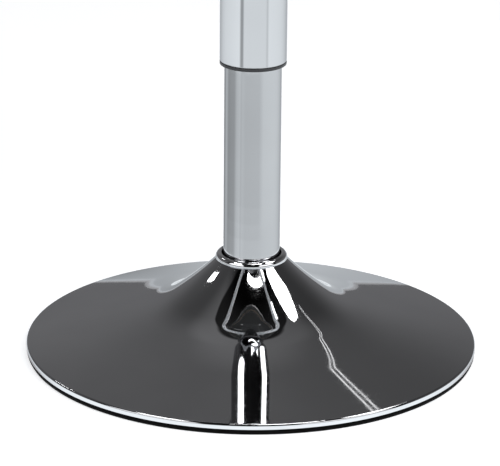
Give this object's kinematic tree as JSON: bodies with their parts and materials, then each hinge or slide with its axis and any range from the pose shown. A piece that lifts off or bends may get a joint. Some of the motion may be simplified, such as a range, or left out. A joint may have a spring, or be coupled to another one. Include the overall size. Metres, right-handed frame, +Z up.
{
  "type": "bar stool",
  "caption": "Height-adjustable swivel bar stool: round padded seat on a gas-lift column with sleeve, footrest loop and release lever, standing on a polished trumpet base.",
  "frame": {"origin": "on the floor under the middle of the round base, which is on the column's axis", "axes": "+Z up along the column, -Y towards the front, where the footrest is, +X to the right seen from the front"},
  "size_m": [0.385, 0.385, 0.8122],
  "materials": {
    "chrome": "polished",
    "rubber": "matte",
    "plain_steel": "satin",
    "black_plastic": "satin",
    "grey_plastic": "satin",
    "black_paint": "satin",
    "plywood": "matte",
    "underside_felt": "matte",
    "upholstery": "satin"
  },
  "bodies": {
    "base": {"base_shell": "chrome", "floor_ring": "rubber", "hub_plate": "plain_steel", "hub_socket": "plain_steel", "neck_collar": "chrome", "column_tube": "chrome", "column_end_cap": "black_plastic", "guide_bush": "black_plastic", "rod_plate": "plain_steel", "bearing_lower_washer": "plain_steel"},
    "rod": {"piston_rod": "plain_steel", "piston": "black_plastic", "bump_stop": "rubber", "bearing_cage": "plain_steel", "bearing_upper_washer": "plain_steel", "rod_clip_washer": "plain_steel", "rod_clip": "plain_steel"},
    "seat": {"gas_cylinder": "black_paint", "cylinder_gland": "black_plastic", "sleeve_tube": "chrome", "sleeve_ring": "grey_plastic", "sleeve_bush": "black_plastic", "footrest": "chrome", "seat_pan": "black_paint", "seat_socket": "plain_steel", "lever_bracket": "plain_steel", "lever_pivot": "plain_steel", "seat_board": "plywood", "dust_cover": "underside_felt", "seat_cushion": "upholstery", "tee_nut_1": "plain_steel", "tee_nut_2": "plain_steel", "tee_nut_3": "plain_steel", "tee_nut_4": "plain_steel", "bolt_washer_1": "plain_steel", "bolt_washer_2": "plain_steel", "bolt_washer_3": "plain_steel", "bolt_washer_4": "plain_steel", "seat_bolt_1": "plain_steel", "seat_bolt_2": "plain_steel", "seat_bolt_3": "plain_steel", "seat_bolt_4": "plain_steel"},
    "lever": {"lever_rod": "plain_steel", "lever_handle": "black_plastic"},
    "release_pin": {"release_pin": "plain_steel"}
  },
  "joints": [
    {"name": "seat_swivel", "type": "hinge", "parent": "base", "child": "rod", "pos_m": [0, 0, 0.0451], "axis": [0, 0, 1], "continuous": true},
    {"name": "seat_lift", "type": "slide", "parent": "rod", "child": "seat", "axis": [0, 0, 1], "range_m": [-0.165, 0.045]},
    {"name": "lever_lift", "type": "hinge", "parent": "seat", "child": "lever", "pos_m": [-0.0343, 0, 0.7206], "axis": [0, 1, 0], "range_deg": [0, 7], "stiffness_Nm_per_rad": 5},
    {"name": "release_press", "type": "slide", "parent": "seat", "child": "release_pin", "axis": [0, 0, 1], "range_m": [-0.0045, 0]}
  ],
  "couplings": [
    {"joint": "release_press", "follows": "lever_lift", "m_per_rad": -0.0343}
  ]
}
